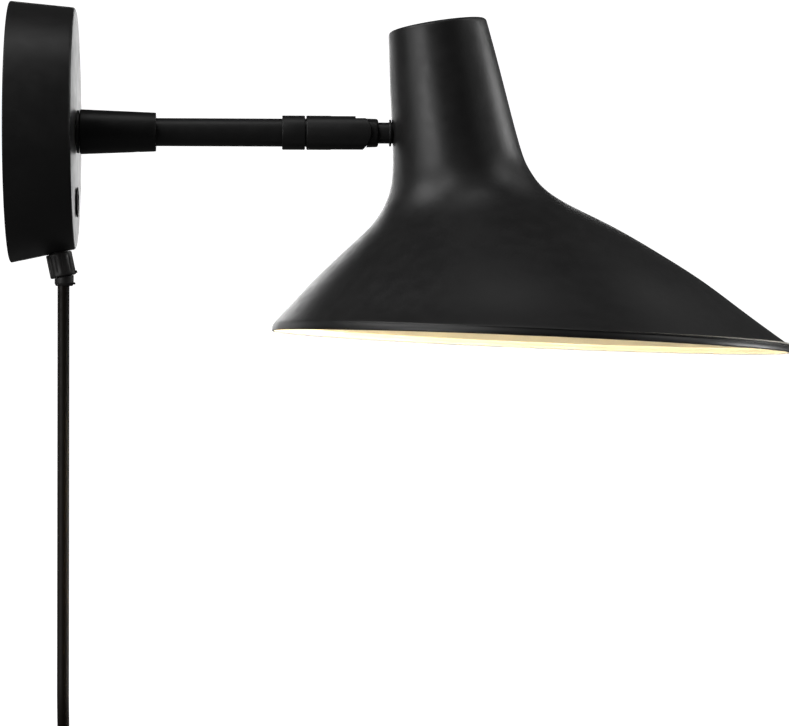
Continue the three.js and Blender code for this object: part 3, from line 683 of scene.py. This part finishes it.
def make_grip():
    sides, flutes = 144, 12
    rows = []
    profile = filleted([
        (-6, 3.3), (-6, 4.0, 0.2), (0.3, 4.0), (0.3, 6.0, 0.5), (11.2, 6.0, 0.6), (11.2, 3.3, 0.3),
    ], 4)
    fine = []
    for i, here in enumerate(profile):
        after = profile[(i + 1) % len(profile)]
        fine.append(here)
        if (after - here).length > 3 and here[1] > 5:
            fine.extend(here.lerp(after, k / 14) for k in range(1, 14))
    vertices = []
    for along, across in fine:
        ring = []
        for i in range(sides):
            angle = 2 * math.pi * i / sides
            depth = 0.0
            if across > 5.0:
                reach = ease((along - 1.4) / 1.0) * ease((9.9 - along) / 1.0)
                wave = 0.5 - 0.5 * math.cos(flutes * angle)
                depth = 0.28 * reach * wave ** 2
            vertices.append(Vector(on_axis("z", along, across - depth, angle)))
            ring.append(len(vertices) - 1)
        rows.append(ring)
    body = mesh_object("grip", vertices, loft_faces(rows, False), soft_plastic, 50.0)
    latch = bevelled(box_piece("tool", (-6.6, -5.0), (-2.0, 2.0), (9.6, 10.7), (0, 0, 0), soft_plastic), 0.15, 2)
    join(body, latch)
    tilted(body)
    settle(body, "wall_unit", "black_plastic", "cord_grip")

    collar = turned("grip_collar", [
        (-70.6, 3.45, 0.15), (-70.6, 3.85, 0.15), (-69.5, 4.4, 0.4), (-62.0, 4.4), (-62.0, 3.45),
    ], "z", (24.6, 0, 0), soft_plastic, 64)
    cut(collar, tilted(box_piece("tool", (-20, 20), (-20, 20), (-20, 11.5), (0, 0, 0), soft_plastic)))
    tab = bevelled(box_piece("tool", (3.8, 5.1), (-2.0, 2.0), (-69.9, -69.0), (24.6, 0, 0), soft_plastic), 0.15, 2)
    join(collar, tab)
    settle(collar, "wall_unit", "black_plastic", "cord_collar")


make_grip()


# ---------------------------------------------------------------- arm

def arm_piece(name, corners, node, sides=96, material=black_paint, slot="black_paint"):
    made = turned(name, corners, "x", ARM, material, sides)
    return settle(made, "wall_unit", slot, node)


arm_piece("spacer", [(0.3, 5.17), (0.3, 9.85, 0.2), (1.5, 9.85, 0.2), (1.5, 5.17)], "boss_spacer")
socket = turned("arm_socket", [
    (1.8, 5.17), (1.8, 10.35, 0.6), (36.7, 8.95, 0.5), (36.7, 6.76, 0.2), (19.7, 6.76), (19.7, 5.17),
], "x", ARM, black_paint, 120)
cut(socket, rod("z", -20, -5, 1.8, (58, 0, 0.3), 32))
settle(socket, "wall_unit", "black_paint", "arm_boss")
grub = turned("socket_grub", [
    (-9.15, 0), (-9.15, 1.5, 0.2), (-6.75, 1.5, 0.4), (-6.75, 0),
], "z", (58, 0, 0.3), steel, 32)
cut(grub, turned("tool", [(-12, 0), (-12, 0.85), (-7.9, 0.85), (-7.9, 0)], "z", (58, 0, 0.3), steel, 6))
settle(grub, "wall_unit", "plain_steel", "boss_screw")
arm_piece("tube", [(20, 5.2), (20, 6.46), (99.6, 6.46, 0.3), (99.6, 5.2)], "arm_tube", 120)
arm_piece("tube_ring", [
    (94.6, 6.76, 0.1), (94.6, 7.9, 0.35), (105.1, 7.9, 0.3), (105.1, 6.8), (97.6, 6.8), (97.6, 6.76),
], "swivel_ring", 120)
arm_piece("spigot", [(99.9, 3.2), (99.9, 6.5, 0.3), (112.4, 6.5, 0.3), (112.4, 3.2)], "swivel_spigot")


# ---------------------------------------------------------------- knuckle

def circle_points(radius, start, end, steps):
    return [
        (radius * math.cos(math.radians(start + (end - start) * i / steps)),
         radius * math.sin(math.radians(start + (end - start) * i / steps)))
        for i in range(steps + 1)
    ]


def make_knuckle():
    housing = turned("knuckle_housing", [
        (105.75, 6.8), (105.75, 7.9, 0.35), (136.0, 7.9), (136.0, 0), (115.8, 0), (115.8, 6.8),
    ], "x", ARM, black_paint, 120)
    rounding = [(0, 20), (30, 20), (30, -20), (0, -20)] + circle_points(9.9, -90, 90, 60)
    cut(
        housing,
        prism("tool", rounding, "y", -20, 20, PIVOT, black_paint),
        box_piece("tool", (2.9, 30), (-20, 20), (6.5, 20), PIVOT, black_paint),
        box_piece("tool", (-8.5, 30), (-2.2, 2.2), (-20, 20), PIVOT, black_paint),
        rod("y", -5.8, 20, 2.3, PIVOT),
        rod("y", 4.9, 20, 3.7, PIVOT),
        rod("x", 112.4, 118.4, 2.0, ARM, 32),
    )
    bevelled(housing, 0.22, 3)
    settle(housing, "knuckle", "black_paint", "pivot_housing")
    pin = turned("knuckle_pin", [
        (-5.5, 0), (-5.5, 2.0, 0.4), (5.2, 2.0), (5.2, 3.4, 0.2), (7.3, 3.4, 0.5), (7.3, 0),
    ], "y", PIVOT, turned_steel, 64)
    hexagon = turned("tool", [(5.6, 0), (5.6, 1.75), (9, 1.75), (9, 0)], "y", PIVOT, turned_steel, 6)
    cut(pin, hexagon)
    settle(pin, "knuckle", "plain_steel", "pivot_screw")
    for name, low in (("near", -1.9), ("far", 1.3)):
        washer = turned(f"washer_{name}", [
            (low, 2.3), (low, 4.6, 0.12), (low + 0.6, 4.6, 0.12), (low + 0.6, 2.3),
        ], "y", PIVOT, brass, 64)
        settle(washer, "knuckle", "plain_brass", f"friction_washer_{name}")

    nose = turned("tongue", [(0, 0), (0, 6.95), (13.4, 6.5, 1.0), (13.4, 0)], "x", PIVOT, black_paint, 96)
    cut(nose, rod("y", -20, 20, 10.25, PIVOT, 120))
    eye = rod("y", -1.0, 1.0, 6.0, PIVOT, 72)
    bar = box_piece("tool", (0, 11.0), (-1.0, 1.0), (-5.9, 5.9), PIVOT, black_paint)
    join(nose, eye, bar)
    cut(nose, rod("y", -10, 10, 2.3, PIVOT, 48), rod("x", 11.0, 16.0, 5.17, PIVOT, 48))
    bevelled(nose, 0.18, 2)
    settle(nose, "head", "black_paint", "tilt_tongue")
    nipple = turned("nipple", [
        (11.3, 3.5), (11.3, 4.87, 0.3), (29.0, 4.87, 0.3), (29.0, 3.5),
    ], "x", PIVOT, black_paint, 72)
    settle(nipple, "head", "black_paint", "neck_nipple")
    collar = turned("neck_collar", [
        (18.4, 5.17), (18.4, 6.2, 0.35), (19.4, 6.2, 0.3), (19.4, 5.17),
    ], "x", PIVOT, black_paint, 72)
    settle(collar, "head", "black_paint", "neck_washer")


make_knuckle()


# ---------------------------------------------------------------- lamp holder and bulb

def holder_piece(name, corners, node, material, slot, sides=96):
    made = turned(name, corners, "z", HOLDER, material, sides)
    return settle(made, "head", slot, node)


def make_holder():
    top = 34.4
    low = top - 18
    skirt_top = low - 0.3
    holder_piece("holder_dome", [
        (low, 12.4), (low, 14.0, 0.3), (top - 4, 14.0, 3.0), (top, 9.5, 1.0), (top, 5.17),
        (top - 5, 5.17), (top - 5, 11.0), (low, 12.4),
    ][:-1], "holder_cap", black_plastic, "black_plastic")
    holder_piece("holder_sleeve", [
        (-13.5, 7.4, 0.4), (-13.5, 12.6, 0.8), (-12.3, 13.4, 0.5), (skirt_top - 8, 13.4, 0.3),
        (skirt_top - 7.2, 14.0, 0.3), (skirt_top, 14.0, 0.3), (skirt_top, 5.0),
        (skirt_top - 3, 5.0), (skirt_top - 3, 7.4),
    ], "holder_skirt", black_plastic, "black_plastic")
    holder_piece("bulb_base", [
        (-31.2, 0), (-31.2, 15.2, 0.3), (-27.0, 14.6, 2.0), (-20.0, 8.6, 3.0), (-15.3, 7.0, 0.3), (-15.3, 0),
    ], "bulb_collar", white_plastic, "white_plastic")
    globe = []
    mouth = 43.2
    for i in range(41):
        angle = math.radians(180 - (180 - mouth) * i / 40)
        globe.append((-48.0 + 22.5 * math.cos(angle), max(0.0, 22.5 * math.sin(angle))))
    for i in range(41):
        angle = math.radians(mouth + (180 - mouth) * i / 40)
        globe.append((-48.0 + 21.4 * math.cos(angle), max(0.0, 21.4 * math.sin(angle))))
    globe[0] = (globe[0][0], 0.0)
    globe[-1] = (globe[-1][0], 0.0)
    holder_piece("bulb_glass", globe, "bulb_globe", opal, "opal_glass", 96)


make_holder()


# ---------------------------------------------------------------- tie and plug

def make_tie():
    """A flat strap round the coil's bundle."""
    half, thick = 1.5 * CORD_STEP + TIE_CLEARANCE, 0.9
    corner = 3.4
    inner, outer = [], []
    for start, sx, sz in ((0, 1, 1), (90, -1, 1), (180, -1, -1), (270, 1, -1)):
        for k in range(7):
            angle = math.radians(start + 15 * k)
            middle = (sx * (half - corner), sz * (half - corner))
            inner.append((middle[0] + corner * math.cos(angle), middle[1] + corner * math.sin(angle)))
            reach = corner + thick
            outer.append((middle[0] + reach * math.cos(angle), middle[1] + reach * math.sin(angle)))
    count = len(inner)
    vertices, faces = [], []
    for y in (-3.0, 3.0):
        vertices.extend((x, y, z) for x, z in inner)
        vertices.extend((x, y, z) for x, z in outer)
    for i in range(count):
        j = (i + 1) % count
        base = 2 * count
        faces.append([i, j, count + j, count + i])
        faces.append([base + i, base + count + i, base + count + j, base + j])
        faces.append([i, base + i, base + j, j])
        faces.append([count + i, count + j, base + count + j, base + count + i])
    strap = mesh_object("tie_strap", vertices, faces, soft_plastic)
    bevelled(strap, 0.22, 3, 60.0)
    offset = -8.0
    lean = math.asin(8.0 / COIL_RADIUS)
    place = Vector((CORD_X, offset, COIL_Z + math.sqrt(COIL_RADIUS ** 2 - offset ** 2))) * MM
    strap.data.transform(Matrix.Translation(place) @ Matrix.Rotation(lean, 4, "X"))
    settle(strap, "wall_unit", "black_plastic", "coil_tie")
    return strap


def make_plug():
    tail_y = COIL_RADIUS + CORD_STEP
    at = (CORD_X, tail_y, PLUG_TOP - 55)
    outline = []
    control = [(-17.4, 0, 4.0), (-17.4, 17, 9.0), (-6.6, 33, 4.0), (6.6, 33, 4.0), (17.4, 17, 9.0), (17.4, 0, 4.0)]
    for point in filleted([(a, b, r) for a, b, r in control], 8):
        outline.append((point[0], point[1]))
    body = prism("plug", outline, "x", -6.85, 6.85, at, soft_plastic)
    bevelled(body, 2.0, 5, 60.0)
    relief_profile = [(30.0, 0), (30.0, 5.4)]
    ribs = 5
    for k in range(ribs):
        start = 34.5 + 4.0 * k
        radius = 5.2 - 0.36 * k
        relief_profile += [(start, radius, 0.3), (start + 0.3, radius - 0.6, 0.2),
                           (start + 1.3, radius - 0.7, 0.2), (start + 1.6, radius - 0.1, 0.3)]
    relief_profile += [(55.0, 3.5, 0.5), (55.0, 0)]
    relief = turned("relief", relief_profile, "z", at, soft_plastic, 64, 3)
    join(body, relief)
    holes = [rod("z", -1, 4, 2.3, (CORD_X, tail_y + y, at[2]), 32) for y in (-9.3, 9.3)]
    cut(body, *holes)
    settle(body, "wall_unit", "black_plastic", "plug_body")
    pins = []
    for name, y in (("live", -9.3), ("neutral", 9.3)):
        pin = turned(f"pin_{name}", [
            (3.6, 0), (3.6, 2.0), (-9.0, 2.0, 0.2), (-9.4, 1.85, 0.1),
            (-18.2, 1.85, 1.2), (-19.0, 1.2, 0.6), (-19.0, 0),
        ], "z", (CORD_X, tail_y + y, at[2]), turned_steel, 40)
        settle(pin, "wall_unit", "plain_steel", f"plug_pin_{name}")
        pins.append(pin)
    return [body, *pins]


strap = make_tie()
plug_pieces = make_plug()


# ---------------------------------------------------------------- CAD nodes that stay

KEPT = {
    "wall_bracket": steel, "terminal_block": unglazed, "terminal_screw_live": brass,
    "terminal_screw_neutral": brass, "cord_grip_nut": soft_plastic, "supply_wire_live": brown_wire,
    "supply_wire_neutral": blue_wire, "lamp_wire_live": brown_wire, "lamp_wire_neutral": blue_wire,
    "canopy_nipple": steel, "canopy_washer": steel, "canopy_nut": steel, "retaining_nut": steel,
    "neck_nut": steel, "holder_bracket": steel, "holder_contact": brass, "holder_nipple": steel,
    "holder_nut": steel, "bulb_screw_cap": turned_steel, "bulb_contact": brass,
    "holder_wire_live": brown_wire, "holder_wire_neutral": blue_wire,
}
for name, material in KEPT.items():
    node = nodes[name]
    node.data.materials.clear()
    node.data.materials.append(material)


# ---------------------------------------------------------------- studio

def make_stage():
    """A pale floor that curves up into an even surround."""
    low, bend, reach, sides = -0.75, 1.6, 4.2, 96
    profile = [(low, 0.0), (low, 0.8), (low, 1.7)]
    for k in range(13):
        angle = math.radians(7.5 * k)
        profile.append((low + bend * (1 - math.cos(angle)), reach - bend + bend * math.sin(angle)))
    profile += [(2.2, reach), (3.6, 3.4), (4.6, 2.0), (5.0, 0.0)]
    profile = [(a / MM, b / MM) for a, b in profile]
    vertices, faces = turned_mesh(profile, "z", (0, 0, 0), sides)
    shader = Shader("studio_white", (0.88, 0.88, 0.88), 0.9, Emission_Strength=1.0)
    shader.bsdf.inputs["Emission Color"].default_value = (1.0, 1.0, 1.0, 1.0)
    floor = mesh_object("studio_floor", vertices, faces, shader.material, 80.0)
    floor.visible_diffuse = False
    floor.visible_glossy = False
    floor.visible_shadow = False


LAMP_MIDDLE = Vector((0.18, 0.0, -0.05))
LIGHT_DISTANCE = 2.2


def area_light(name, place, out, width, tall, power):
    """A rectangular light at place, whose back faces the direction out."""
    data = bpy.data.lights.new(name, "AREA")
    data.shape = "RECTANGLE"
    data.size, data.size_y = width, tall
    data.energy = power
    light = bpy.data.objects.new(name, data)
    light.location = place
    light.rotation_euler = (-out).to_track_quat("-Z", "Y").to_euler()
    bpy.context.scene.collection.objects.link(light)
    return light


def softbox(name, azimuth, height, width, tall, power):
    """A soft light on a sphere round the lamp; azimuth 0 is the camera's side, 90 the shade's."""
    a, h = math.radians(azimuth), math.radians(height)
    out = Vector((math.sin(a) * math.cos(h), -math.cos(a) * math.cos(h), math.sin(h)))
    return area_light(name, LAMP_MIDDLE + out * LIGHT_DISTANCE, out, width, tall, power)


def make_lights():
    for name, azimuth, height, width, tall, power in (
        ("behind_left", -165, 5, 0.35, 1.2, 3.6),
        ("behind_mid_left", -150, 5, 0.35, 1.2, 2.5),
        ("behind_far_left", -135, 5, 0.35, 1.2, 2.0),
        ("left", -75, 5, 0.35, 1.2, 2.4),
        ("left_front", -58, 5, 0.35, 1.2, 6.5),
        ("front_left", -44, 5, 0.35, 1.2, 9.4),
        ("front_right", 52, 5, 0.45, 1.2, 1.9),
        ("right", 102, 5, 0.35, 1.2, 18.6),
        ("right_rear", 114, 5, 0.35, 1.2, 10.0),
        ("high_left", -80, 45, 0.8, 0.8, 10.8),
        ("high_front_left", -40, 45, 0.8, 0.8, 5.8),
        ("high_right", 80, 45, 0.8, 0.8, 4.4),
        ("high_right_rear", 120, 45, 0.8, 0.8, 1.0),
        ("overhead", 0, 82, 1.0, 1.0, 3.3),
    ):
        softbox(name, azimuth, height, width, tall, power)
    backwards, down = Vector((0.0, 1.0, 0.0)), Vector((0.0, 0.0, -1.0))
    back = area_light("back_panel", Vector((0.16, 2.5, 0.25)), backwards, 1.2, 1.1, 13.0)
    back.visible_camera = False
    area_light("low_panel", Vector((0.18, 0.4, -0.72)), down, 4.0, 3.0, 1.2)
    world = bpy.data.worlds.new("world")
    world.use_nodes = True
    background = world.node_tree.nodes["Background"]
    background.inputs["Color"].default_value = (1.0, 1.0, 1.0, 1.0)
    background.inputs["Strength"].default_value = 0.03
    bpy.context.scene.world = world


make_stage()
make_lights()
bpy.context.scene.view_settings.view_transform = "Standard"
bpy.context.scene.view_settings.look = "None"
